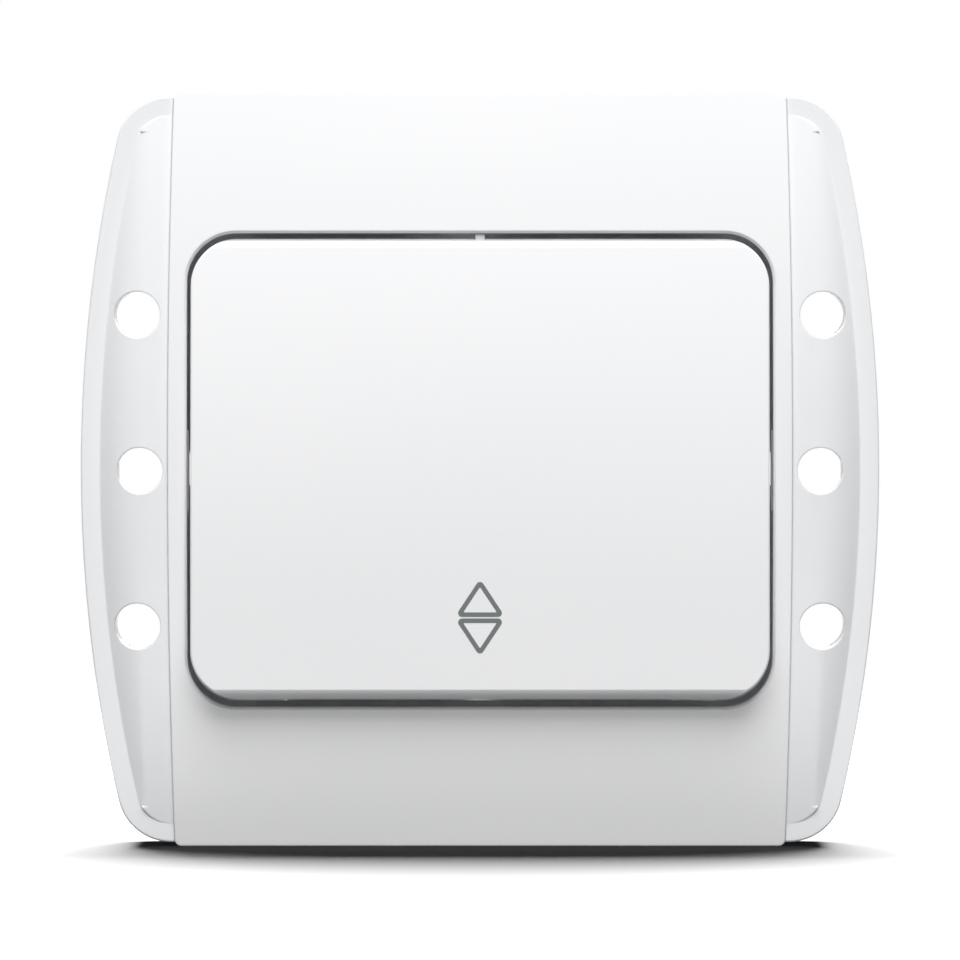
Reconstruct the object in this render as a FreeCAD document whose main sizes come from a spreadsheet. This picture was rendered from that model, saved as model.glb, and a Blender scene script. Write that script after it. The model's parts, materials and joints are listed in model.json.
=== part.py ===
import FreeCAD, Part
import math
import os
import re

import Sketcher
from FreeCAD import Placement, Rotation, Vector

# Two-way rocker switch for a round wall box, in millimetres.
# X runs to the right and Z up as the switch is seen on the wall. Y runs into the wall.
# The wall's face is the plane Y = 0, so what shows in the room has a negative Y.

sizes = {
    # outer frame, seen from the front
    "frame_half_w": 42.5,
    "frame_half_h": 39.8,
    "side_bow": 4.965,
    "corner_radius": 5.7,
    "rim_width": 2.05,
    "rim_drop": 2.7,
    "rim_end_step": 0.25,
    "rim_edge": 0.12,
    # arch that the plate, the wings and the key share, about an axis along X
    "arch_radius": 200.0,
    "plate_level": 10.4,
    # domed wings
    "wing_width": 9.4,
    "wing_step": 0.4,
    "crest_inset": 7.3,
    "wing_skin": 2.0,
    "wing_wall": 1.8,
    "wing_side": 3.9,
    "rim_depth": 1.9,
    "wing_root": 0.8,
    "hole_radius": 2.45,
    "outer_hole_inset": 6.1,
    "middle_hole_inset": 6.4,
    "hole_spread": 0.416,
    # bed of the centre plate in the frame
    "bed_thickness": 1.65,
    "bed_gap": 0.2,
    "bed_overlap": 0.35,
    "bay_floor": 3.0,
    "end_wall": 1.6,
    "window_side": 0.9,
    "window_end": 5.4,
    "window_corner": 3.0,
    "tab_gap": 0.25,
    "tab_half_h": 4.3,
    "foot_half_w": 5.0,
    "foot_x": 15.0,
    "foot_inset": 3.5,
    "foot_thickness": 1.2,
    # centre plate
    "plate_overhang": 0.4,
    "plate_bulge": 0.5,
    "plate_thickness": 1.8,
    "plate_corner": 0.7,
    "plate_edge": 0.25,
    "skirt_thickness": 1.4,
    "skirt_clearance": 0.9,
    "joint_gap": 0.03,
    "side_band": 2.0,
    "end_band": 15.0,
    "opening_corner": 5.2,
    # hooks that hold the centre plate on the strap
    "hook_inset": 2.5,
    "hook_width": 4.0,
    "hook_step": 0.95,
    "hook_thickness": 1.2,
    "hook_barb": 0.8,
    "hook_tip": 1.5,
    # key
    "key_side_gap": 0.4,
    "key_end_gap": 0.8,
    "key_corner": 5.0,
    "key_proud": 1.0,
    "key_thickness": 1.8,
    "key_wall": 1.6,
    "key_back": 3.8,
    "key_side_draft": 2.0,
    "key_end_draft": 3.0,
    "key_edge": 0.15,
    "roll_height": 0.95,
    "roll_radius": 2.0,
    "roll_drop": 0.73,
    "key_rib_x": 20.0,
    "key_rib_thickness": 1.0,
    "key_rib_back": 7.2,
    "gate_width": 1.0,
    "gate_height": 0.45,
    "gate_depth": 0.9,
    "key_tilt": 3.0,
    "pivot_level": 5.0,
    # cradle under the key
    "cradle_half_w": 11.8,
    "cradle_half_h": 12.0,
    "cradle_front": 8.3,
    "cradle_thickness": 2.0,
    "web_half_h": 3.6,
    "web_back": 3.2,
    "trunnion_radius": 1.6,
    "trunnion_gap": 0.06,
    "trunnion_reach": 14.8,
    "boss_radius": 3.4,
    "boss_back": 4.6,
    "boss_bore": 2.1,
    "boss_crown": 1.3,
    "catch_half_w": 3.0,
    "catch_thickness": 1.1,
    "catch_barb": 0.6,
    "catch_depth": 0.9,
    "seat_rib_x": 8.0,
    "seat_rib_thickness": 1.2,
    # spring and plunger
    "spring_radius": 1.55,
    "wire_radius": 0.25,
    "spring_turns": 4.0,
    "plunger_radius": 2.0,
    "plunger_front": 2.0,
    "plunger_shoulder": 5.4,
    "nose_radius": 1.2,
    "nose_tip": 0.5,
    "nose_cone": 0.8,
    "nose_reach": 14.0,
    "plunger_gap": 0.2,
    # change-over blade
    "blade_half_w": 2.5,
    "blade_half_h": 12.6,
    "blade_thickness": 0.8,
    "blade_tilt": 6.0,
    "contact_z": 11.0,
    "contact_radius": 1.5,
    "contact_height": 0.8,
    "contact_gap": 0.05,
    "fixed_contact_height": 0.6,
    # brass terminals
    "strip_thickness": 0.8,
    "strip_half_w": 2.0,
    "strip_reach": 1.8,
    "cage_x": 10.5,
    "cage_z": 12.7,
    "cage_half_w": 3.5,
    "cage_half_h": 3.7,
    "cage_wall": 0.8,
    "cage_inset": 0.4,
    "knife_half_w": 2.2,
    "knife_half_h": 1.6,
    "knife_tip": 0.15,
    "knife_gap": 0.05,
    "wire_z": 11.85,
    "wire_entry": 1.8,
    "clamp_half_w": 2.5,
    "clamp_z": 13.9,
    "clamp_thickness": 0.8,
    "clamp_screw_y": 16.8,
    "clamp_screw_radius": 1.5,
    "thread_gap": 0.05,
    "clamp_head_radius": 2.3,
    "clamp_head_z": 16.7,
    "clamp_head_height": 2.0,
    "slot_width": 0.7,
    "slot_depth": 0.8,
    # moulded base
    "base_half_w": 20.5,
    "base_half_h": 19.5,
    "base_corner": 3.0,
    "base_front": 0.05,
    "base_back": 21.0,
    "tower_half_w": 15.3,
    "tower_half_h": 14.5,
    "tower_corner": 1.5,
    "tower_front": 2.6,
    "cheek_gap": 0.3,
    "cheek_half_h": 5.4,
    "cheek_head": 2.6,
    "well_half_w": 4.6,
    "well_half_h": 5.4,
    "well_back": 6.5,
    "room_half_w": 15.4,
    "room_half_h": 17.2,
    "barrier_gap": 0.6,
    "barrier_thickness": 1.2,
    "barrier_front": 14.3,
    "access_radius": 2.6,
    # rear cover
    "cover_gap": 0.05,
    "cover_thickness": 3.0,
    "collar_height": 2.0,
    "collar_radius": 3.4,
    "cover_rib_height": 1.0,
    # support strap
    "strap_thickness": 1.0,
    "strap_side": 0.3,
    "strap_end": 1.5,
    "strap_corner": 4.0,
    "strap_gap": 0.2,
    "box_screw_x": 30.0,
    "box_slot_half": 2.5,
    "box_slot_radius": 1.9,
    "upright_slot_inset": 5.5,
    "upright_slot_half": 3.5,
    "corner_hole_side": 5.9,
    "corner_hole_end": 6.0,
    "corner_hole_radius": 1.75,
    "flange_side": 8.4,
    "flange_gap": 1.25,
    # rivets
    "rivet_x": 17.9,
    "rivet_z": 17.0,
    "rivet_radius": 1.1,
    "rivet_clearance": 0.05,
    "rivet_head_radius": 2.0,
    "rivet_head_height": 0.8,
    # spreading claws
    "claw_hinge_x": 23.1,
    "claw_hinge_y": 2.2,
    "claw_head_radius": 1.8,
    "claw_half_h": 3.4,
    "claw_web_x": 27.0,
    "claw_metal": 0.8,
    "claw_inner_x": 21.4,
    "claw_shoulder": 4.2,
    "claw_end": 18.4,
    "claw_tooth": 1.5,
    "claw_pin_radius": 0.9,
    "claw_pin_gap": 0.06,
    "lug_inner": 3.9,
    "lug_thickness": 0.9,
    "lug_radius": 1.9,
    "claw_screw_x": 24.0,
    "claw_screw_radius": 1.5,
    "claw_screw_end": 15.0,
    "claw_screw_hole": 1.7,
    "claw_screw_head": 2.8,
    "claw_head_height": 1.9,
    "nut_half_w": 2.15,
    "nut_half_h": 2.5,
    "nut_y": 11.0,
    "nut_height": 2.4,
}

# What follows from these sizes, as formulas of the same sheet.
follows = {
    "side_radius": "(frame_half_h^2+side_bow^2)/(2*side_bow)",
    "arch_centre": "arch_radius-plate_level",
    "crest_radius": "arch_radius-wing_step",
    "crest_x": "frame_half_w-crest_inset",
    "rim_level": "plate_level-rim_drop",
    "rim_end_level": "sqrt(crest_radius^2-frame_half_h^2)-arch_centre+rim_end_step",
    "rim_crown": "(frame_half_h^2+(rim_level-rim_end_level)^2)/(2*(rim_level-rim_end_level))",
    "hole_outer_x": "frame_half_w-outer_hole_inset",
    "hole_middle_x": "frame_half_w-middle_hole_inset",
    "hole_z": "frame_half_h*hole_spread",
    "plate_half_w": "frame_half_w-wing_width",
    "plate_half_h": "frame_half_h+plate_overhang",
    "plate_bow": "(plate_half_h^2+plate_bulge^2)/(2*plate_bulge)",
    "hollow_edge": "plate_half_w+wing_root",
    "skirt_inner": "plate_half_h-skirt_thickness",
    "bed_half_h": "skirt_inner-bed_gap",
    "bed_radius": "arch_radius-plate_thickness-joint_gap/2",
    "opening_half_w": "plate_half_w-side_band",
    "opening_half_h": "plate_half_h-end_band",
    "key_half_w": "opening_half_w-key_side_gap",
    "key_half_h": "opening_half_h-key_end_gap",
    "key_radius": "arch_radius+key_proud",
    "key_edge_level": "sqrt(key_radius^2-key_half_h^2)-arch_centre",
    "window_half_w": "key_half_w+window_side",
    "window_half_h": "key_half_h+window_end",
    "hook_x": "base_half_w+hook_inset",
    "hook_z": "opening_half_h+hook_step",
    "strap_half_w": "plate_half_w+strap_side",
    "strap_half_h": "bed_half_h-end_wall-strap_end",
    "foot_z": "strap_half_h-foot_inset",
    "upright_slot_z": "strap_half_h-upright_slot_inset",
    "corner_hole_x": "strap_half_w-corner_hole_side",
    "corner_hole_z": "strap_half_h-corner_hole_end",
    "flange_half_w": "strap_half_w-flange_side",
    "flange_level": "sqrt((bed_radius-bed_thickness)^2-strap_half_h^2)-arch_centre-flange_gap",
    "cradle_back": "cradle_front-cradle_thickness",
    "nose_y": "nose_reach-pivot_level",
    "knife_y": "nose_y+plunger_gap+blade_thickness",
    "fixed_contact_y": "knife_y+contact_height*cos(blade_tilt*1deg)"
                       "+(contact_z+contact_radius)*sin(blade_tilt*1deg)+contact_gap",
    "strip_y": "fixed_contact_y+fixed_contact_height",
    "cover_back": "base_back+cover_gap+cover_thickness",
}

os.makedirs("parts", exist_ok=True)
doc = FreeCAD.newDocument("TwoWaySwitch")
sheet = doc.addObject("Spreadsheet::Sheet", "Sizes")
for row, (name, size) in enumerate({**sizes, **follows}.items(), start=1):
    sheet.set(f"A{row}", name)
    sheet.set(f"B{row}", str(size) if name in sizes else f"={size}")
    sheet.setAlias(f"B{row}", name)
doc.recompute()


def number(text):
    return float(sheet.evalExpression(text))


def bound(text):
    # The text with each of the sheet's names as a reference to the sheet.
    named = sizes.keys() | follows.keys()
    return re.sub(r"[a-z_]\w*", lambda word: "Sizes." + word[0] if word[0] in named else word[0], text)


def bind(thing, **settings):
    for key, text in settings.items():
        thing.setExpression(key.replace("__", "."), bound(text))


# Outlines for sketches: a list of corners (u, v), or (u, v, radius) where the edge to the next
# corner is an arc. A positive radius turns left along the way, a negative one right.

def box(u0, v0, u1, v1):
    return [(u0, v0), (u1, v0), (u1, v1), (u0, v1)]


def rounded(half_u, half_v, radius):
    return [(half_u, f"-({half_v}-({radius}))"), (half_u, f"{half_v}-({radius})", radius),
            (f"{half_u}-({radius})", half_v), (f"-({half_u}-({radius}))", half_v, radius),
            (f"-({half_u})", f"{half_v}-({radius})"), (f"-({half_u})", f"-({half_v}-({radius}))", radius),
            (f"-({half_u}-({radius}))", f"-({half_v})"), (f"{half_u}-({radius})", f"-({half_v})", radius)]


def slot(u, v, half_length, radius, upright=False):
    run = f"({half_length}-{radius})"
    if upright:
        return [(f"{u}+{radius}", f"{v}+{run}", radius), (f"{u}-{radius}", f"{v}+{run}"),
                (f"{u}-{radius}", f"{v}-{run}", radius), (f"{u}+{radius}", f"{v}-{run}")]
    return [(f"{u}-{run}", f"{v}+{radius}", radius), (f"{u}-{run}", f"{v}-{radius}"),
            (f"{u}+{run}", f"{v}-{radius}", radius), (f"{u}+{run}", f"{v}+{radius}")]


def circle(u, v, radius):
    return (u, v, radius)


def mirrored(loop):
    # The same loop left to right: u changes sign, and so does the way that each arc turns.
    return [(f"-({corner[0]})", corner[1], *(f"-({radius})" for radius in corner[2:])) for corner in loop]


def arc_between(start, end, radius):
    # The short arc from start to end, drawn anticlockwise as sketches need it.
    if radius < 0:
        start, end = end, start
    middle = (start + end) * 0.5
    half = (end - start) * 0.5
    side = Vector(-half.y, half.x, 0).normalize()
    centre = middle + side * math.sqrt(max(radius * radius - half.Length ** 2, 0))
    angles = [math.atan2(point.y - centre.y, point.x - centre.x) for point in (start, end)]
    return Part.ArcOfCircle(Part.Circle(centre, Vector(0, 0, 1), abs(radius)), *angles)


def hold(sketch, kind, edge, point, text):
    row = sketch.addConstraint(Sketcher.Constraint(kind, -1, 1, edge, point, number(text)))
    sketch.setExpression(f"Constraints[{row}]", bound(text))


def draw_circle(sketch, u, v, radius):
    centre = Vector(number(u), number(v), 0)
    edge = sketch.addGeometry(Part.Circle(centre, Vector(0, 0, 1), number(radius)))
    hold(sketch, "DistanceX", edge, 3, u)
    hold(sketch, "DistanceY", edge, 3, v)
    row = sketch.addConstraint(Sketcher.Constraint("Radius", edge, number(radius)))
    sketch.setExpression(f"Constraints[{row}]", bound(radius))


def draw_loop(sketch, loop):
    corners = [Vector(number(corner[0]), number(corner[1]), 0) for corner in loop]
    ends = []
    for index, corner in enumerate(loop):
        start, end = corners[index], corners[(index + 1) % len(loop)]
        if len(corner) == 2:
            edge = sketch.addGeometry(Part.LineSegment(start, end))
            ends.append((edge, 1, 2))
            continue
        radius = number(corner[2])
        edge = sketch.addGeometry(arc_between(start, end, radius))
        ends.append((edge, 1, 2) if radius > 0 else (edge, 2, 1))
        after = loop[(index + 1) % len(loop)]
        if (end - start).Length > 1.999 * abs(radius):
            # A half circle is held by its centre, as its radius says nothing more than its ends do.
            along = 0 if abs((end - start).y) > abs((end - start).x) else 1
            hold(sketch, ("DistanceX", "DistanceY")[along], edge, 3, f"({corner[along]}+({after[along]}))/2")
            continue
        row = sketch.addConstraint(Sketcher.Constraint("Radius", edge, abs(radius)))
        sketch.setExpression(f"Constraints[{row}]", bound(f"abs({corner[2]})"))
    for index, corner in enumerate(loop):
        edge, first, last = ends[index]
        after = ends[(index + 1) % len(loop)]
        hold(sketch, "DistanceX", edge, first, corner[0])
        hold(sketch, "DistanceY", edge, first, corner[1])
        sketch.addConstraint(Sketcher.Constraint("Coincident", edge, last, after[0], after[1]))


def sketch_on(body, name, plane, shapes, level="0", shift="0"):
    # level moves the sketch along its plane's normal: forward for XZ, up for XY, right for YZ.
    made = body.newObject("Sketcher::SketchObject", name)
    origin = next(item for item in body.Origin.OriginFeatures if item.Role == plane + "_Plane")
    made.AttachmentSupport = [(origin, "")]
    made.MapMode = "FlatFace"
    bind(made, AttachmentOffset__Base__z=level, AttachmentOffset__Base__y=shift)
    for shape in shapes:
        if isinstance(shape, tuple):
            draw_circle(made, *shape)
        else:
            draw_loop(made, shape)
    return made


def new_body(name):
    made = doc.addObject("PartDesign::Body", name)
    made.Label = name
    return made


def extrude(body, kind, name, plane, shapes, length, level="0", **settings):
    sketch = sketch_on(body, name + "_outline", plane, shapes, level)
    made = body.newObject("PartDesign::" + kind, name)
    made.Profile = sketch
    if length is None:
        made.Type = "ThroughAll"
    else:
        bind(made, Length=length)
    for key, setting in settings.items():
        setattr(made, key, setting)
    body.Tip = made
    return made


def pad(body, name, plane, shapes, length, level="0", **settings):
    return extrude(body, "Pad", name, plane, shapes, length, level, **settings)


def pocket(body, name, plane, shapes, length, level="0", **settings):
    return extrude(body, "Pocket", name, plane, shapes, length, level, **settings)


def turn(body, kind, name, shapes, angle, shift, axis="H_Axis"):
    # A turned form about an axis along X through (0, shift, 0), half of the angle each way from Z = 0.
    sketch = sketch_on(body, name + "_outline", "XY", shapes, shift=shift)
    made = body.newObject("PartDesign::" + kind, name)
    made.Profile = sketch
    made.ReferenceAxis = (sketch, [axis])
    made.Midplane = True
    bind(made, Angle=angle)
    body.Tip = made
    return made


def arch_angle(half_height, radius):
    return f"2*asin(({half_height})/({radius}))"


def dress_edges(body, kind, name, base, size, wanted):
    # A fillet or chamfer on those edges of the last feature that pass the test.
    doc.recompute()
    chosen = [f"Edge{index}" for index, edge in enumerate(base.Shape.Edges, start=1) if wanted(edge)]
    made = body.newObject("PartDesign::" + kind, name)
    made.Base = (base, chosen)
    bind(made, **{{"Fillet": "Radius", "Chamfer": "Size"}[kind]: size})
    body.Tip = made
    return made


def on_cylinder(edge, radius, centre):
    # True where an edge lies on the cylinder about the axis along X through (0, centre, 0).
    return all(abs(math.hypot(point.y - centre, point.z) - radius) < 1e-3
               for point in edge.discretize(5)) and edge.CenterOfMass.y < 0


def set_tilt(body, angle, y):
    # Turns a finished piece about the axis along X through (0, y, 0).
    body.Placement = Placement(Vector(0, 0, 0), Rotation(Vector(1, 0, 0), number(angle)))
    bind(body, Placement__Rotation__Angle=f"({angle})*1deg",
         Placement__Base__y=f"({y})*(1-cos(({angle})*1deg))",
         Placement__Base__z=f"-({y})*sin(({angle})*1deg)")


# Outer frame

def frame_outline(inset="0"):
    # Bowed sides, level ends and round corners that touch both.
    centre = "(frame_half_w-side_radius)"
    side = f"(side_radius-({inset}))"
    corner = f"(corner_radius-({inset}))"
    corner_z = "(frame_half_h-corner_radius)"
    corner_x = f"({centre}+sqrt((side_radius-corner_radius)^2-{corner_z}^2))"
    touch_x = f"({centre}+({corner_x}-{centre})*{side}/(side_radius-corner_radius))"
    touch_z = f"({corner_z}*{side}/(side_radius-corner_radius))"
    top = f"(frame_half_h-({inset}))"
    return [(touch_x, f"-{touch_z}", side), (touch_x, touch_z, corner),
            (corner_x, top), (f"-{corner_x}", top, corner),
            (f"-{touch_x}", touch_z, side), (f"-{touch_x}", f"-{touch_z}", corner),
            (f"-{corner_x}", f"-{top}"), (corner_x, f"-{top}", corner)]


def flank(inset):
    # The part of the frame's outline, moved inwards, that lies outside the centre plate's bay.
    touch, corner = frame_outline(inset)[1], f"(corner_radius-({inset}))"
    corner_x = frame_outline(inset)[2][0]
    end = f"(frame_half_h-corner_radius+sqrt({corner}^2-(hollow_edge-{corner_x})^2))"
    return [("hollow_edge", f"-{end}", corner), (touch[0], f"-{touch[1]}", f"side_radius-({inset})"),
            (touch[0], touch[1], corner), ("hollow_edge", end)]


def bowed(gap, low, high):
    # The centre plate's outline between two heights. Its sides are slightly bowed.
    def edge(height):
        return f"(plate_half_w+({gap})-plate_bow+sqrt(plate_bow^2-({height})^2))"
    return [(edge(low), low, "plate_bow"), (edge(high), high),
            (f"-{edge(high)}", high, "plate_bow"), (f"-{edge(low)}", low)]


def shoulder(height):
    # What is cut away outside a wing's crest at one height: the surface rolls from the level crest
    # down to the rim, where it meets the rim's inner outline.
    crest = f"(sqrt(crest_radius^2-({height})^2)-arch_centre)"
    foot = f"(rim_level-rim_crown+sqrt(rim_crown^2-({height})^2))"
    foot_x = f"(frame_half_w-side_radius+sqrt((side_radius-rim_width)^2-({height})^2))"
    fall, width = f"({crest}-{foot})", f"({foot_x}-crest_x)"
    return [("crest_x", f"-{crest}", f"({width}^2+{fall}^2)/(2*{fall})"), (foot_x, f"-{foot}"),
            (f"{foot_x}+corner_radius", f"-{foot}"), (f"{foot_x}+corner_radius", f"-{crest}-1"),
            ("crest_x", f"-{crest}-1")]


def make_wing_domes():
    body = new_body("wing_domes")
    pad(body, "dome_block", "XZ", [frame_outline("rim_width")], "plate_level")
    reach, ahead = "(frame_half_w+5)", "(arch_radius+8)"
    turn(body, "Groove", "dome_crown", [box(f"-{reach}", f"-{ahead}", reach, "-crest_radius")],
         "30", "arch_centre")
    for side in ("right", "left"):
        sections = []
        for step in range(-3, 4):
            height = f"({step}/3*(frame_half_h-3.8))"
            loop = shoulder(height) if side == "right" else mirrored(shoulder(height))
            sections.append(sketch_on(body, f"shoulder_{side}_{step + 4}", "XY", [loop], height))
        rolled = body.newObject("PartDesign::SubtractiveLoft", "shoulder_" + side)
        rolled.Profile = sections[0]
        rolled.Sections = sections[1:]
        body.Tip = rolled
    return body


def make_wing_hollows():
    body = new_body("wing_hollows")
    pad(body, "hollow_block", "XZ", [flank("wing_side"), mirrored(flank("wing_side"))], "plate_level")
    reach, ahead = "(frame_half_w+5)", "(arch_radius+8)"
    turn(body, "Groove", "hollow_crown",
         [box(f"-{reach}", f"-{ahead}", reach, "-(crest_radius-wing_skin)")], "30", "arch_centre")
    return body


def combine(body, name, kind, tool):
    made = body.newObject("PartDesign::Boolean", name)
    made.setObjects([tool])
    made.Type = kind
    body.Tip = made


def make_wing_frame():
    domes, hollows = make_wing_domes(), make_wing_hollows()
    body = new_body("wing_frame")
    pad(body, "rim_slab", "XZ", [frame_outline()], "rim_level+1")
    high = "(frame_half_h+1)"
    edge = f"(rim_crown-rim_level-sqrt(rim_crown^2-{high}^2))"
    crown = pocket(body, "rim_crowning", "YZ", [[
        ("-(rim_level+3)", f"-{high}"), (edge, f"-{high}", "-rim_crown"),
        (edge, high), ("-(rim_level+3)", high)]], None, SideType="Symmetric")
    middle = -number("rim_level") / 2
    dress_edges(body, "Chamfer", "rim_edges", crown, "rim_edge", lambda item: item.CenterOfMass.y < middle)
    combine(body, "with_domes", "Fuse", domes)
    past = "(frame_half_h+2)"
    pocket(body, "plate_bay", "XZ", [bowed("joint_gap", f"-{past}", past)], None, "bay_floor",
           Reversed=True)
    rail = "(plate_half_w+joint_gap+bed_overlap)"
    turn(body, "Revolution", "bed", [box(f"-{rail}", "-bed_radius", rail, "-(bed_radius-bed_thickness)")],
         arch_angle("bed_half_h", "bed_radius"), "arch_centre")
    ends = [bowed("joint_gap", "bed_half_h", past), bowed("joint_gap", f"-{past}", "-bed_half_h")]
    pocket(body, "end_gaps", "XZ", ends, None, SideType="Symmetric")
    inner = "(bed_half_h-end_wall)"
    pocket(body, "centre_hollow", "XZ",
           [box("-(hollow_edge+0.05)", f"-{inner}", "hollow_edge+0.05", inner)], "bay_floor", Reversed=True)
    pocket(body, "flank_relief", "XZ", [flank("wing_wall"), mirrored(flank("wing_wall"))],
           "rim_end_level-rim_depth", Reversed=True)
    combine(body, "without_hollows", "Cut", hollows)
    pocket(body, "window", "XZ", [rounded("window_half_w", "window_half_h", "window_corner")], None,
           SideType="Symmetric")
    tabs = [box(f"{side}(key_half_w+tab_gap)", "-bed_radius", f"{side}(window_half_w+bed_overlap)",
                "-(bed_radius-bed_thickness)") for side in ("", "-")]
    turn(body, "Revolution", "bed_tabs", tabs, arch_angle("tab_half_h", "bed_radius"), "arch_centre")
    holes = []
    for side in ("", "-"):
        holes.append(circle(f"{side}hole_middle_x", "0", "hole_radius"))
        holes.append(circle(f"{side}hole_outer_x", "hole_z", "hole_radius"))
        holes.append(circle(f"{side}hole_outer_x", "-hole_z", "hole_radius"))
    pocket(body, "wing_holes", "XZ", holes, None, SideType="Symmetric")
    seat = "(strap_thickness+contact_gap)"
    under = "(sqrt((bed_radius-bed_thickness)^2-(foot_z+foot_thickness)^2)-arch_centre)"
    feet = []
    for x in ("foot_x", "-foot_x"):
        for z in ("foot_z", "-foot_z"):
            feet.append(box(f"{x}-foot_half_w", f"{z}-foot_thickness/2",
                            f"{x}+foot_half_w", f"{z}+foot_thickness/2"))
    pad(body, "bed_feet", "XZ", feet, f"{under}-{seat}+bed_thickness/2", seat)


# Centre plate

def make_centre_plate():
    body = new_body("centre_plate")
    block = pad(body, "plate_block", "XZ", [bowed("0", "-plate_half_h", "plate_half_h")],
                "plate_level-skirt_clearance+1", "skirt_clearance")
    near_end = number("plate_half_h") - 0.5
    dress_edges(body, "Fillet", "plate_corners", block, "plate_corner",
                lambda item: item.BoundBox.YLength > 5 and abs(item.CenterOfMass.z) > near_end)
    reach = "(plate_half_w+5)"
    turn(body, "Groove", "plate_crown", [box(f"-{reach}", "-(arch_radius+8)", reach, "-arch_radius")],
         "30", "arch_centre")
    under = "(arch_radius-plate_thickness)"
    pocket(body, "plate_back", "XZ", [box(f"-{reach}", "-skirt_inner", reach, "skirt_inner")],
           f"sqrt({under}^2-skirt_inner^2)-arch_centre-skirt_clearance+0.01", "skirt_clearance",
           Reversed=True)
    turn(body, "Groove", "plate_arch", [box(f"-{reach}", f"-{under}", reach, f"-({under}-8)")],
         arch_angle("skirt_inner", under), "arch_centre")
    opening = pocket(body, "key_opening", "XZ",
                     [rounded("opening_half_w", "opening_half_h", "opening_corner")], None,
                     SideType="Symmetric")
    radius, centre = number("arch_radius"), number("arch_centre")
    inside = number("opening_half_w") + 0.1
    dress_edges(body, "Chamfer", "plate_edges", opening, "plate_edge",
                lambda item: on_cylinder(item, radius, centre) and item.BoundBox.XMax < inside
                and item.BoundBox.XMin > -inside and abs(item.CenterOfMass.z) < inside)
    seat = f"(sqrt({under}^2-(hook_z+hook_thickness)^2)-arch_centre+plate_thickness/2)"
    hooks = []
    for level in ("", "-"):
        inner, outer = f"{level}hook_z", f"{level}(hook_z+hook_thickness)"
        barb = f"{level}(hook_z+hook_thickness+hook_barb)"
        hooks.append([(f"-{seat}", inner), (f"-{seat}", outer), ("contact_gap", outer),
                      ("contact_gap", barb), ("hook_tip/2", barb), ("hook_tip", inner)])
    pad(body, "hooks_right", "YZ", hooks, "hook_width", "hook_x-hook_width/2")
    pad(body, "hooks_left", "YZ", hooks, "hook_width", "-hook_x-hook_width/2")


# Key

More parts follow.
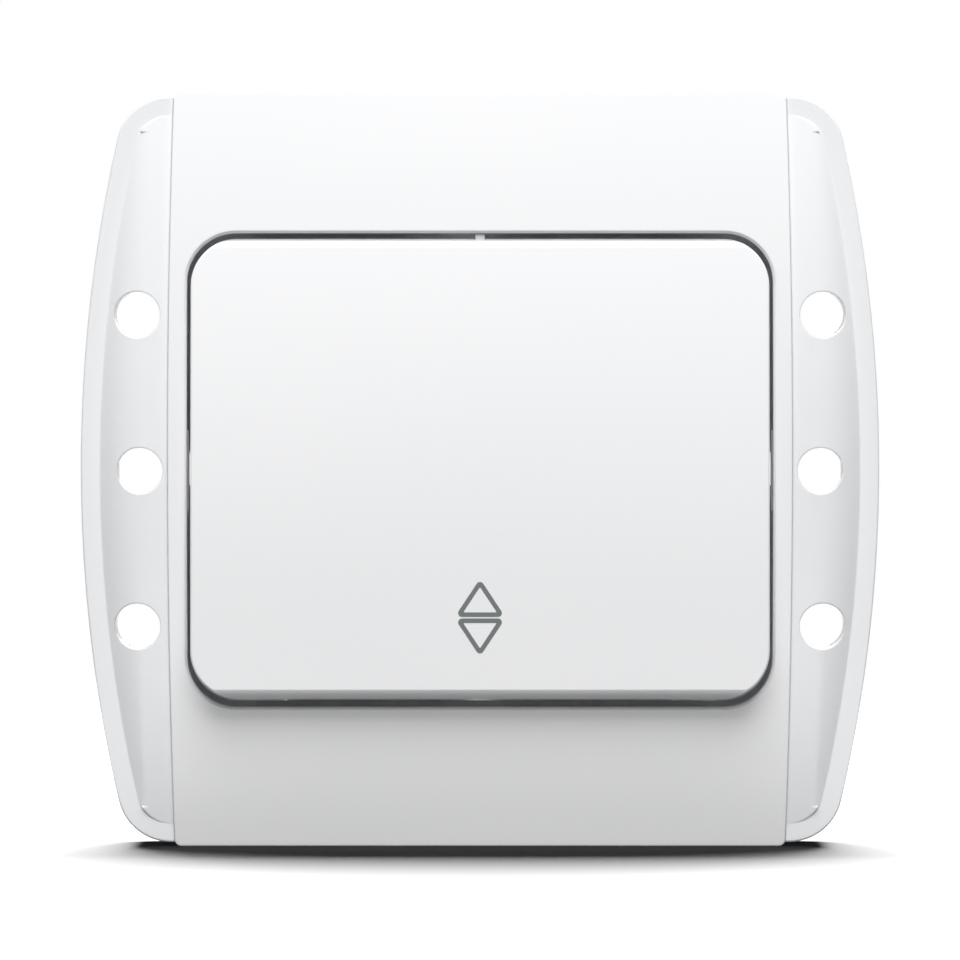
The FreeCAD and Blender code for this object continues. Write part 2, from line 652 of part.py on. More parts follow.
def make_key():
    body = new_body("rocker")

    def drafted(level):
        depth = f"(key_edge_level-({level}))"
        return rounded(f"(key_half_w+{depth}*tan(key_side_draft*1deg))",
                       f"(key_half_h+{depth}*tan(key_end_draft*1deg))", "key_corner")
    ahead = "(plate_level+key_proud+1)"
    loft = body.newObject("PartDesign::AdditiveLoft", "key_block")
    loft.Profile = sketch_on(body, "key_back_outline", "XZ", [drafted("key_back")], "key_back")
    loft.Sections = [sketch_on(body, "key_front_outline", "XZ", [drafted(ahead)], ahead)]
    loft.Ruled = True
    body.Tip = loft
    reach = "(key_half_w+5)"
    crown = turn(body, "Groove", "key_crown",
                 [box(f"-{reach}", "-(key_radius+8)", reach, "-key_radius")], "30", "arch_centre")
    radius, centre = number("key_radius"), number("arch_centre")
    dress_edges(body, "Chamfer", "key_edges", crown, "key_edge",
                lambda item: on_cylinder(item, radius, centre))
    rolled = []
    crease, past = "(key_half_h-roll_height)", "(key_half_h+2)"
    front = f"(sqrt(key_radius^2-{crease}^2)-arch_centre)"
    for side, turning in (("", "-roll_radius"), ("-", "roll_radius")):
        rolled.append([(f"-{front}", f"{side}{crease}", turning),
                       (f"-({front}-roll_drop)", f"{side}key_half_h"),
                       (f"-({front}-roll_drop)", f"{side}{past}"),
                       (f"-({front}+3)", f"{side}{past}"), (f"-({front}+3)", f"{side}{crease}")])
    pocket(body, "rolled_ends", "YZ", rolled, None, SideType="Symmetric")
    inner_w, inner_h = "(key_half_w-key_wall)", "(key_half_h-key_wall)"
    ceiling = "(key_radius-key_thickness)"
    pocket(body, "key_hollow", "XZ", [rounded(inner_w, inner_h, "key_corner-key_wall")],
           f"sqrt({ceiling}^2-{inner_h}^2)-arch_centre-key_back+0.01", "key_back", Reversed=True)
    straight = f"({inner_w}-key_corner+key_wall)"
    turn(body, "Groove", "key_ceiling",
         [box(f"-{straight}", f"-{ceiling}", straight, f"-({ceiling}-3)")],
         arch_angle(inner_h, ceiling), "arch_centre")
    stiffeners = [box(f"{x}-key_rib_thickness/2", f"-({inner_h}+key_wall/4)",
                      f"{x}+key_rib_thickness/2", f"{inner_h}+key_wall/4") for x in ("key_rib_x", "-key_rib_x")]
    pad(body, "stiffening_ribs", "XZ", stiffeners, "key_edge_level-key_thickness/2-key_rib_back",
        "key_rib_back")
    seat, into = "(cradle_front+contact_gap)", "(plate_level+key_proud-3*key_thickness/4)"
    seats = [box(f"{x}-seat_rib_thickness/2", "-(cradle_half_h-1)",
                 f"{x}+seat_rib_thickness/2", "cradle_half_h-1") for x in ("seat_rib_x", "-seat_rib_x")]
    pad(body, "seat_ribs", "XZ", seats, f"{into}-{seat}", seat)
    under = "(cradle_back-contact_gap)"
    catches = []
    for level in ("", "-"):
        inner = f"{level}(cradle_half_h+2*contact_gap)"
        outer = f"{level}(cradle_half_h+2*contact_gap+catch_thickness)"
        barb = f"{level}(cradle_half_h+2*contact_gap-catch_barb)"
        catches.append([(f"-{into}", inner), (f"-{into}", outer),
                        (f"-({under}-catch_depth)", outer), (f"-({under}-catch_depth)", inner),
                        (f"-({under}-catch_depth/2)", barb), (f"-{under}", barb), (f"-{under}", inner)])
    pad(body, "catches", "YZ", catches, "2*catch_half_w", SideType="Symmetric")
    # the stub that is left where the moulding was cut from its runner
    gate_front = "(key_edge_level-2*key_edge)"
    end_wall = f"(key_half_h+(key_edge_level-{gate_front})*tan(key_end_draft*1deg))"
    pad(body, "gate_mark", "XZ", [box("-gate_width/2", f"{end_wall}-key_wall/2", "gate_width/2",
                                      f"{end_wall}+gate_height")],
        "gate_depth", f"{gate_front}-gate_depth")
    set_tilt(body, "-key_tilt", "-pivot_level")


# Cradle with its trunnions and the spring's boss

def make_tumbler():
    body = new_body("tumbler")
    pad(body, "cradle", "XZ", [box("-cradle_half_w", "-cradle_half_h", "cradle_half_w", "cradle_half_h")],
        "cradle_thickness", "cradle_back")
    pad(body, "web", "XZ", [box("-cradle_half_w", "-web_half_h", "cradle_half_w", "web_half_h")],
        "cradle_back+cradle_thickness/2-web_back", "web_back")
    pad(body, "trunnions", "YZ", [circle("-pivot_level", "0", "trunnion_radius")],
        "2*trunnion_reach", SideType="Symmetric")
    pad(body, "boss", "XZ", [circle("0", "0", "boss_radius")], "boss_back+web_back+0.2", "-boss_back")
    pocket(body, "boss_bore", "XZ", [circle("0", "0", "boss_bore")],
           "boss_back+cradle_back-boss_crown", "-boss_back", Reversed=True)
    set_tilt(body, "-key_tilt", "-pivot_level")


def make_toggle_spring():
    body = new_body("toggle_spring")
    start = "(cradle_back-boss_crown-wire_radius-contact_gap)"
    profile = sketch_on(body, "wire_outline", "XY", [[
        ("spring_radius-wire_radius", f"-{start}"), ("spring_radius", f"-{start}-wire_radius"),
        ("spring_radius+wire_radius", f"-{start}"), ("spring_radius", f"-{start}+wire_radius")]])
    helix = body.newObject("PartDesign::AdditiveHelix", "coil")
    helix.Profile = profile
    helix.ReferenceAxis = (profile, ["V_Axis"])
    helix.Mode = "height-turns-angle"
    bind(helix, Height=f"plunger_front+{start}-wire_radius-contact_gap", Turns="spring_turns")
    body.Tip = helix
    set_tilt(body, "-key_tilt", "-pivot_level")


def spin(body, name, sketch, axis):
    made = body.newObject("PartDesign::Revolution", name)
    made.Profile = sketch
    made.ReferenceAxis = (sketch, [axis])
    made.Angle = 360
    body.Tip = made


def make_toggle_plunger():
    body = new_body("toggle_plunger")
    sketch = sketch_on(body, "plunger_outline", "XY", [[
        ("0", "plunger_front"), ("plunger_radius", "plunger_front"),
        ("plunger_radius", "plunger_shoulder"), ("nose_radius", "plunger_shoulder"),
        ("nose_radius", "nose_y-nose_cone"), ("nose_tip", "nose_y"), ("0", "nose_y")]])
    spin(body, "plunger", sketch, "V_Axis")
    set_tilt(body, "-key_tilt", "-pivot_level")


# Contacts

def group(name, pieces):
    made = doc.addObject("Part::Compound", name)
    made.Label = name
    made.Links = pieces


def make_blade():
    body = new_body("changeover_blade")
    pad(body, "blade", "XZ", [box("-blade_half_w", "-blade_half_h", "blade_half_w", "blade_half_h")],
        "blade_thickness", "-knife_y")
    set_tilt(body, "blade_tilt", "knife_y")


def make_contacts():
    moving, fixed = [], []
    for name, z in (("upper", "contact_z"), ("lower", "-contact_z")):
        disc = [circle("0", z, "contact_radius")]
        body = new_body("blade_contact_" + name)
        pad(body, "contact_" + name, "XZ", disc, "contact_height", "-(knife_y+contact_height)")
        set_tilt(body, "blade_tilt", "knife_y")
        moving.append(body)
        body = new_body("fixed_contact_" + name)
        pad(body, "button_" + name, "XZ", disc, "fixed_contact_height", "-strip_y")
        fixed.append(body)
    group("blade_contacts", moving)
    group("fixed_contacts", fixed)


# Brass terminals

def cage_box(side, level, inset="0"):
    return box(f"{side}cage_x-(cage_half_w-({inset}))", f"{level}cage_z-(cage_half_h-({inset}))",
               f"{side}cage_x+(cage_half_w-({inset}))", f"{level}cage_z+(cage_half_h-({inset}))")


def make_terminal(name, side, level, strip):
    body = new_body(name)
    pad(body, name + "_strip", "XZ", [strip], "strip_thickness", "-(strip_y+strip_thickness)")
    pad(body, name + "_cage", "XZ", [cage_box(side, level), cage_box(side, level, "cage_wall")],
        "base_back-cage_inset-strip_y", "-(base_back-cage_inset)")
    wall = f"{level}(cage_z+cage_half_h+0.5)"
    pocket(body, name + "_thread", "XY",
           [circle(f"{side}cage_x", "clamp_screw_y", "clamp_screw_radius+thread_gap")],
           "cage_wall+1", wall, Reversed=level == "-")
    return body


def make_traveller(name, level):
    make_terminal(name, "", level, box("-strip_reach", f"{level}contact_z-strip_half_w",
                                       "cage_x-cage_half_w+cage_wall", f"{level}contact_z+strip_half_w"))


def make_common():
    inner = "(cage_x-cage_half_w+cage_wall)"
    leg = f"-({inner}-1.6*strip_half_w)"
    end = "knife_half_w+knife_tip"
    top = "contact_z+strip_half_w"
    body = make_terminal("common_terminal", "-", "", [
        (end, "-strip_half_w"), (end, "strip_half_w"), (leg, "strip_half_w"), (leg, top),
        (f"-{inner}", top), (f"-{inner}", "-strip_half_w")])
    tip, root = "knife_y+knife_gap", "strip_y+strip_thickness/2"
    pad(body, "knife_edge", "YZ", [[
        (root, "-knife_half_h"), ("strip_y", "-knife_half_h"), (tip, "-knife_tip"), (tip, "knife_tip"),
        ("strip_y", "knife_half_h"), (root, "knife_half_h")]], "2*knife_half_w", SideType="Symmetric")


def make_clamps():
    screws, plates = [], []
    for name, side, level in (("common", "-", ""), ("upper", "", ""), ("lower", "", "-")):
        x = f"{side}cage_x"
        plate = new_body("clamp_" + name)
        pad(plate, "plate_" + name, "XZ", [box(f"{x}-clamp_half_w", f"{level}clamp_z", f"{x}+clamp_half_w",
                                               f"{level}(clamp_z+clamp_thickness)")],
            "2*clamp_half_w", "-(clamp_screw_y+clamp_half_w)")
        plates.append(plate)
        foot = f"{level}(clamp_z+clamp_thickness+contact_gap/2)"
        under, top = f"{level}clamp_head_z", f"{level}(clamp_head_z+clamp_head_height)"
        shank, head = "clamp_screw_y+clamp_screw_radius", "clamp_screw_y+clamp_head_radius"
        screw = new_body("clamp_screw_" + name)
        outline = sketch_on(screw, "screw_outline_" + name, "YZ", [[
            ("clamp_screw_y", foot), (shank, foot), (shank, under), (head, under), (head, top),
            ("clamp_screw_y", top)]], x)
        spin(screw, "screw_" + name, outline, "Edge6")
        pocket(screw, "slot_" + name, "YZ", [box(
            "clamp_screw_y-slot_width/2", f"{level}(clamp_head_z+clamp_head_height-slot_depth)",
            "clamp_screw_y+slot_width/2", f"{level}(clamp_head_z+clamp_head_height+1)")],
            "4*clamp_head_radius", x, SideType="Symmetric")
        screws.append(screw)
    group("terminal_clamps", plates)
    group("terminal_screws", screws)


# Moulded housing

def rivet_spots(radius):
    # One rivet at the upper right and one at the lower left.
    return [circle("rivet_x", "rivet_z", radius), circle("-rivet_x", "-rivet_z", radius)]


def wire_spots(radius):
    return [circle("-cage_x", "wire_z", radius), circle("cage_x", "wire_z", radius),
            circle("cage_x", "-wire_z", radius)]


def make_base():
    body = new_body("mechanism_base")
    pad(body, "block", "XZ", [rounded("base_half_w", "base_half_h", "base_corner")],
        "base_back-base_front", "-base_back")
    pad(body, "tower", "XZ", [rounded("tower_half_w", "tower_half_h", "tower_corner")],
        "tower_front+base_front+1", "-(base_front+1)")
    inner = "(cradle_half_w+cheek_gap)"
    cheek = [("-(tower_front-0.4)", "-cheek_half_h"), ("-(tower_front-0.4)", "cheek_half_h"),
             ("-tower_front", "cheek_half_h"), ("-pivot_level", "cheek_head", "cheek_head"),
             ("-(pivot_level+cheek_head)", "0", "cheek_head"), ("-pivot_level", "-cheek_head"),
             ("-tower_front", "-cheek_half_h")]
    pad(body, "cheek_right", "YZ", [cheek], f"tower_half_w-{inner}", inner)
    pad(body, "cheek_left", "YZ", [cheek], f"tower_half_w-{inner}", "-tower_half_w")
    pocket(body, "bearings", "YZ", [circle("-pivot_level", "0", "trunnion_radius+trunnion_gap")], None,
           SideType="Symmetric")
    pocket(body, "well", "XZ", [box("-well_half_w", "-well_half_h", "well_half_w", "well_half_h")],
           "tower_front+well_back+1", "tower_front+1")
    pocket(body, "blade_room", "XZ", [box("-well_half_w", "-tower_half_h", "well_half_w", "tower_half_h")],
           "base_back-well_back", "-base_back", Reversed=True)
    pocket(body, "terminal_room", "XZ", [box("-room_half_w", "-room_half_h", "room_half_w", "room_half_h")],
           "base_back-strip_y+contact_gap", "-base_back", Reversed=True)
    near_x = "(cage_x-cage_half_w-barrier_gap)"
    near_z = "(cage_z-cage_half_h-barrier_gap)"
    far_x = f"({near_x}-barrier_thickness)"
    far_z = f"({near_z}-barrier_thickness)"
    for name, side, level in (("upper", "", ""), ("lower", "", "-"), ("common", "-", "")):
        top, end = f"{level}(room_half_h+0.5)", f"{side}(room_half_w+0.5)"
        barrier = [(f"{side}{near_x}", top), (f"{side}{far_x}", top), (f"{side}{far_x}", f"{level}{far_z}"),
                   (end, f"{level}{far_z}"), (end, f"{level}{near_z}"), (f"{side}{near_x}", f"{level}{near_z}")]
        pad(body, "barrier_" + name, "XZ", [barrier], "base_back-barrier_front", "-base_back")
    access = [circle("cage_x", "clamp_screw_y", "access_radius"),
              circle("-cage_x", "clamp_screw_y", "access_radius")]
    depth, start = "base_half_h-room_half_h+1.2", "(room_half_h-0.2)"
    pocket(body, "access_above", "XY", access, depth, start, Reversed=True)
    pocket(body, "access_below", "XY", access[:1], depth, f"-{start}")
    pocket(body, "base_rivet_holes", "XZ", rivet_spots("rivet_radius+rivet_clearance"), None,
           SideType="Symmetric")


def make_rear_cover():
    body = new_body("rear_cover")
    pad(body, "cover", "XZ", [rounded("base_half_w", "base_half_h", "base_corner")],
        "cover_thickness", "-cover_back")
    pad(body, "cover_rib", "XZ", [box("-(cage_x+1)", "-0.6", "cage_x+1", "0.6")],
        "cover_rib_height+0.5", "-(cover_back+cover_rib_height)")
    pad(body, "collars", "XZ", wire_spots("collar_radius"), "collar_height+0.5",
        "-(cover_back+collar_height)")
    pocket(body, "wire_entries", "XZ", wire_spots("wire_entry"), None, SideType="Symmetric")
    pocket(body, "cover_rivet_holes", "XZ", rivet_spots("rivet_radius+rivet_clearance"), None,
           SideType="Symmetric")


def make_rivets():
    pieces = []
    for number_of, (x, z) in enumerate((("rivet_x", "rivet_z"), ("-rivet_x", "-rivet_z")), start=1):
        name = f"rivet_{number_of}"
        body = new_body(name)
        pad(body, name + "_shank", "XZ", [circle(x, z, "rivet_radius")], "cover_back+strap_thickness",
            "-cover_back")
        head = [circle(x, z, "rivet_head_radius")]
        pad(body, name + "_head", "XZ", head, "rivet_head_height", "strap_thickness")
        pad(body, name + "_clench", "XZ", head, "rivet_head_height", "-(cover_back+rivet_head_height)")
        pieces.append(body)
    group("assembly_rivets", pieces)


# Steel strap

def make_strap():
    body = new_body("support_strap")
    pad(body, "strap_sheet", "XZ", [rounded("strap_half_w", "strap_half_h", "strap_corner")],
        "strap_thickness")
    low = "(strap_half_h-strap_thickness)"
    pad(body, "flanges", "XZ", [box("-flange_half_w", low, "flange_half_w", "strap_half_h"),
                                box("-flange_half_w", "-strap_half_h", "flange_half_w", f"-{low}")],
        "flange_level")
    cuts = [rounded("tower_half_w+strap_gap", "tower_half_h+strap_gap", "tower_corner"),
            slot("0", "upright_slot_z", "upright_slot_half", "box_slot_radius", True),
            slot("0", "-upright_slot_z", "upright_slot_half", "box_slot_radius", True)]
    for side in ("", "-"):
        cuts.append(slot(f"{side}box_screw_x", "0", "box_slot_half", "box_slot_radius"))
        cuts.append(circle(f"{side}claw_screw_x", "0", "claw_screw_hole"))
        for level in ("", "-"):
            cuts.append(circle(f"{side}corner_hole_x", f"{level}corner_hole_z", "corner_hole_radius"))
            cuts.append(box(f"{side}hook_x-(hook_width/2+strap_gap)", f"{level}(hook_z-strap_gap)",
                            f"{side}hook_x+(hook_width/2+strap_gap)",
                            f"{level}(hook_z+hook_thickness+strap_gap)"))
    pocket(body, "strap_cuts", "XZ", cuts + rivet_spots("rivet_radius+rivet_clearance"), None,
           SideType="Symmetric")
    for side in ("", "-"):
        left = f"{side}claw_hinge_x-lug_radius"
        right = f"{side}claw_hinge_x+lug_radius"
        lug = [(left, "-strap_thickness/2"), (right, "-strap_thickness/2"),
               (right, "claw_hinge_y", "lug_radius"), (left, "claw_hinge_y")]
        pin = circle(f"{side}claw_hinge_x", "claw_hinge_y", "claw_pin_radius+claw_pin_gap")
        hand = "right" if side == "" else "left"
        pad(body, f"lug_{hand}_above", "XY", [lug, pin], "lug_thickness", "lug_inner")
        pad(body, f"lug_{hand}_below", "XY", [lug, pin], "lug_thickness", "-(lug_inner+lug_thickness)")


# Spreading claws

def make_claw(name, side):
    body = new_body(name)
    web_in, tooth = "(claw_web_x-claw_metal)", "(claw_web_x+claw_tooth)"
    channel = [("claw_hinge_x+claw_head_radius", "claw_hinge_y"), ("claw_web_x", "claw_shoulder"),
               ("claw_web_x", "claw_end-2.8"), (tooth, "claw_end-2.2"), ("claw_web_x+0.4", "claw_end-1.4"),
               (tooth, "claw_end-0.8"), ("claw_web_x", "claw_end"), (web_in, "claw_end"),
               ("claw_inner_x+1.2", "claw_end-3"), ("claw_inner_x", "claw_shoulder"),
               ("claw_hinge_x-claw_head_radius", "claw_hinge_y", "claw_head_radius")]
    inside = box("claw_inner_x-3", "-1", web_in, "claw_end+3")
    if side == "-":
        channel, inside = mirrored(channel), mirrored(inside)
    pin = circle(f"{side}claw_hinge_x", "claw_hinge_y", "claw_pin_radius")
    pad(body, name + "_channel", "XY", [channel], "2*claw_half_h", SideType="Symmetric")
    inner = "(claw_half_h-claw_metal)"
    pocket(body, name + "_inside", "XY", [inside], f"2*{inner}", SideType="Symmetric")
    reach = "(lug_inner+lug_thickness+0.2)"
    pad(body, name + "_pin_above", "XY", [pin], f"{reach}-{inner}", inner)
    pad(body, name + "_pin_below", "XY", [pin], f"{reach}-{inner}", f"-{reach}")


def make_claw_fasteners():
    screws, nuts = [], []
    for name, x in (("right", "claw_screw_x"), ("left", "-claw_screw_x")):
        screw = new_body("claw_screw_" + name)
        pad(screw, "shank_" + name, "XZ", [circle(x, "0", "claw_screw_radius")],
            "claw_screw_end+strap_thickness", "-claw_screw_end")
        pad(screw, "head_" + name, "XZ", [circle(x, "0", "claw_screw_head")], "claw_head_height",
            "strap_thickness")
        pocket(screw, "drive_" + name, "XZ", [box(f"{x}-slot_width/2", "-claw_screw_head-1",
                                                  f"{x}+slot_width/2", "claw_screw_head+1")],
               "slot_depth", "strap_thickness+claw_head_height")
        screws.append(screw)
        nut = new_body("claw_nut_" + name)
        pad(nut, "block_" + name, "XZ", [
            box(f"{x}-nut_half_w", "-nut_half_h", f"{x}+nut_half_w", "nut_half_h"),
            circle(x, "0", "claw_screw_radius+thread_gap")], "nut_height", "-(nut_y+nut_height)")
        nuts.append(nut)
    group("claw_screws", screws)
    group("claw_nuts", nuts)


make_wing_frame()
make_centre_plate()
make_key()
make_tumbler()
make_toggle_spring()
make_toggle_plunger()
make_blade()
make_contacts()
make_traveller("upper_terminal", "")
make_traveller("lower_terminal", "-")
make_common()
make_clamps()
make_base()
make_rear_cover()
make_rivets()
make_strap()
make_claw("claw_right", "")
make_claw("claw_left", "-")
make_claw_fasteners()
doc.recompute()

nodes = ["wing_frame", "centre_plate", "rocker", "tumbler", "toggle_spring", "toggle_plunger",
         "changeover_blade", "blade_contacts", "fixed_contacts", "common_terminal", "upper_terminal",
         "lower_terminal", "terminal_clamps", "terminal_screws", "mechanism_base", "rear_cover",
         "support_strap", "assembly_rivets", "claw_left", "claw_right", "claw_screws", "claw_nuts"]

# Nothing is written unless every feature worked and every cut and addition changed its body.
faults = [item.Name for item in doc.Objects if {"Invalid", "Error"} & set(item.State)]
for body in doc.findObjects("PartDesign::Body"):
    before = 0.0
    for step in body.Group:
        if not step.isDerivedFrom("PartDesign::Feature") or step.Shape.isNull():
            continue
        kind = step.TypeId.split("::")[1]
        grows = kind in ("Pad", "Revolution", "AdditiveLoft", "AdditiveHelix")
        shrinks = kind in ("Pocket", "Groove", "SubtractiveLoft")
        if (grows and step.Shape.Volume <= before) or (shrinks and step.Shape.Volume >= before):
            faults.append(f"{step.Name} changes nothing")
        before = step.Shape.Volume
for name in nodes:
    shape = doc.getObject(name).Shape
    if shape.isNull() or not shape.isValid() or not shape.Solids:
        faults.append(f"{name} has no valid solid")
if faults:
    raise SystemExit("faults: " + ", ".join(faults))

for name in nodes:
    part = doc.getObject(name)
    part.Shape.exportStep(f"parts/{part.Label}.step")
    print(f"{part.Label}: {len(part.Shape.Solids)} solids, {part.Shape.Volume / 1000:.3f} cm3")
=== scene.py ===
import bmesh
import bpy
import json
import math
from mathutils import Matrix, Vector
from mathutils.bvhtree import BVHTree


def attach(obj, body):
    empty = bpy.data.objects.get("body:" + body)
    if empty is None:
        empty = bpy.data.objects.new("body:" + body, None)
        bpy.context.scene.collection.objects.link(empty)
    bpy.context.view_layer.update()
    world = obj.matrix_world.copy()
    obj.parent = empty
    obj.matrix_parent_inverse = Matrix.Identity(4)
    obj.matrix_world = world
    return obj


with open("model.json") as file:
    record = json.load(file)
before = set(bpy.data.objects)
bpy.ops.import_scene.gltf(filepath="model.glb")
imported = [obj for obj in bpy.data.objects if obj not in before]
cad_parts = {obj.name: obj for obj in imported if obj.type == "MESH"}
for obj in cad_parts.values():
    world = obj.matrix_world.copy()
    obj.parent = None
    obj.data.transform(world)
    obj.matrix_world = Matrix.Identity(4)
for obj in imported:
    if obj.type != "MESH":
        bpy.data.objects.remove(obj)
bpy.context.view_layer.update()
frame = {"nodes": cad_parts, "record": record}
nodes = frame["nodes"]
mm = 0.001
print("frame loaded:", len(nodes), "nodes")


def linear(code):
    # a written sRGB colour as the renderer's linear values
    parts = [int(code[at:at + 2], 16) / 255 for at in (1, 3, 5)]
    return [p / 12.92 if p <= 0.04045 else ((p + 0.055) / 1.055) ** 2.4 for p in parts] + [1.0]


def addNode(tree, kind, settings=None, **inputs):
    # one node with its settings; an input is a value or another node's socket
    node = tree.nodes.new("ShaderNode" + kind)
    for name, value in (settings or {}).items():
        setattr(node, name, value)
    for name, value in inputs.items():
        socket = node.inputs[int(name[2:]) if name.startswith("at") else name.replace("_", " ")]
        if isinstance(value, bpy.types.NodeSocket):
            tree.links.new(value, socket)
        else:
            socket.default_value = value
    return node


def newMaterial(name):
    material = bpy.data.materials.new(name)
    material.use_nodes = True
    material.node_tree.nodes.clear()
    return material, material.node_tree


def meshPiece(made, name):
    # what was built with bmesh, as an object of the scene
    mesh = bpy.data.meshes.new(name)
    made.to_mesh(mesh)
    made.free()
    piece = bpy.data.objects.new(name, mesh)
    bpy.context.scene.collection.objects.link(piece)
    return piece


# Moulded plastics: base is the colour as seen, drift its slow change over the moulding, grain the
# tool's texture that the surface copies, edge the rounding that the light finds on sharp edges. The
# grains of 0.3 to 0.4 mm are drawn coarser than the real ones, which wouldn't show.
mouldedPlastics = {
    # white ABS, injected into a polished tool: a glossy even skin that waves very slightly. The IOR is
    # set a little under the 1.54 that is usual for ABS
    "white_frame": dict(material="polishedAbs_whiteFrame", base="#EBECEE", drift="#E6E8EA", driftMm=26,
                        ior=1.49, roughness=0.25, roughnessSpread=0.015, grainMm=0.9, grainHeightMm=0.0002,
                        edgeMm=0.25),
    "white_plate": dict(material="polishedAbs_whitePlate", base="#EEEEEF", drift="#EAEBEC", driftMm=30,
                        ior=1.49, roughness=0.25, roughnessSpread=0.015, grainMm=0.9, grainHeightMm=0.0002,
                        edgeMm=0.25),
    "white_key": dict(material="polishedAbs_whiteKey", base="#EEEEEF", drift="#EAEBEC", driftMm=30,
                      ior=1.49, roughness=0.25, roughnessSpread=0.015, grainMm=0.9, grainHeightMm=0.0002,
                      edgeMm=0.15),
    # glass-filled polyamide: dull grey, with short fibres that roughen the skin
    "grey_moulding": dict(material="glassFilledPolyamide_grey", base="#8E9193", drift="#83878A", driftMm=9,
                          ior=1.53, roughness=0.5, roughnessSpread=0.1, grainMm=0.35, grainHeightMm=0.012,
                          edgeMm=0.15),
    # acetal: waxy off-white that slides well
    "acetal": dict(material="acetal_natural", base="#E4E2D9", drift="#DAD8CD", driftMm=3,
                   ior=1.48, roughness=0.36, roughnessSpread=0.06, grainMm=0.4, grainHeightMm=0.004,
                   edgeMm=0.1),
    # urea moulding compound from a spark-eroded tool: light grey with an even fine sandy texture
    "base_moulding": dict(material="ureaMoulding_lightGrey", base="#C3C5C3", drift="#B8BBBA", driftMm=14,
                          ior=1.55, roughness=0.46, roughnessSpread=0.12, grainMm=0.3, grainHeightMm=0.02,
                          edgeMm=0.2),
    # black phenolic rear cover from a spark-eroded tool, slightly dusty grey on its high places
    "cover_moulding": dict(material="phenolicMoulding_black", base="#34373A", drift="#2B2E31", driftMm=12,
                           ior=1.6, roughness=0.45, roughnessSpread=0.14, grainMm=0.32, grainHeightMm=0.022,
                           edgeMm=0.2),
}


def mouldedPlastic(look):
    material, tree = newMaterial(look["material"])
    place = addNode(tree, "TexCoord").outputs["Object"]
    slow = addNode(tree, "TexNoise", Vector=place, Scale=1 / (look["driftMm"] * mm), Detail=2.0,
                   Roughness=0.5)
    tint = addNode(tree, "Mix", {"data_type": "RGBA"}, at0=slow.outputs["Fac"],
                   at6=linear(look["base"]), at7=linear(look["drift"]))
    fine = addNode(tree, "TexNoise", Vector=place, Scale=1 / (look["grainMm"] * mm), Detail=3.0,
                   Roughness=0.55)
    gloss = addNode(tree, "MapRange", Value=fine.outputs["Fac"],
                    To_Min=look["roughness"] - look["roughnessSpread"],
                    To_Max=look["roughness"] + look["roughnessSpread"])
    edges = addNode(tree, "Bevel", {"samples": 6}, Radius=look["edgeMm"] * mm)
    relief = addNode(tree, "Bump", Height=fine.outputs["Fac"], Strength=1.0,
                     Distance=look["grainHeightMm"] * mm, Normal=edges.outputs["Normal"])
    shader = addNode(tree, "BsdfPrincipled", Base_Color=tint.outputs[2], IOR=look["ior"],
                     Roughness=gloss.outputs["Result"], Normal=relief.outputs["Normal"])
    addNode(tree, "OutputMaterial", Surface=shader.outputs["BSDF"])
    return material


# Metals: streak is the length and width of the rolling or drawing marks along one axis, spangle the
# size of the zinc's crystals.
metals = {
    # rolled brass strip: warm yellow with fine lines along the strip
    "contact_brass": dict(material="rolledBrass", base="#D8B872", drift="#C9A257", driftMm=4,
                          roughness=0.34, streak=(0.12, 4.0, 0.12), heightMm=0.0015),
    # silver alloy contact faces: nearly white and softly bright
    "silver_alloy": dict(material="silverAlloy", base="#E6E5E0", drift="#D6D4CC", driftMm=1,
                         roughness=0.33, streak=(0.2, 0.2, 0.2), heightMm=0.001),
    # zinc-plated turned steel: bright, slightly blue, with turning rings too fine to see
    "plated_steel": dict(material="zincPlatedSteel", base="#CDD1D6", drift="#BFC3C7", driftMm=3,
                         roughness=0.33, streak=(0.25, 0.25, 0.25), heightMm=0.0015),
    # hot-dipped steel sheet: grey with a patchwork of zinc crystals
    "galvanised_steel": dict(material="galvanisedSteelSheet", base="#C2C6C9", drift="#B7BBBF", driftMm=7,
                             roughness=0.5, streak=(0.5, 0.5, 0.5), heightMm=0.002, spangleMm=2.4),
    # soft aluminium rivets with hammered, slightly dull heads
    "rivet_aluminium": dict(material="clenchedAluminium", base="#D5D7D9", drift="#C4C7C9", driftMm=1.2,
                            roughness=0.36, streak=(0.35, 0.35, 0.35), heightMm=0.004),
    # drawn spring wire: darker steel with marks along the wire
    "spring_steel": dict(material="drawnSpringSteel", base="#9A9C9E", drift="#85888B", driftMm=2,
                         roughness=0.35, streak=(0.1, 0.1, 0.6), heightMm=0.0012),
}
metalSpread = {"smoother": 0.05, "rougher": 0.1}    # how far the marks change a metal's roughness


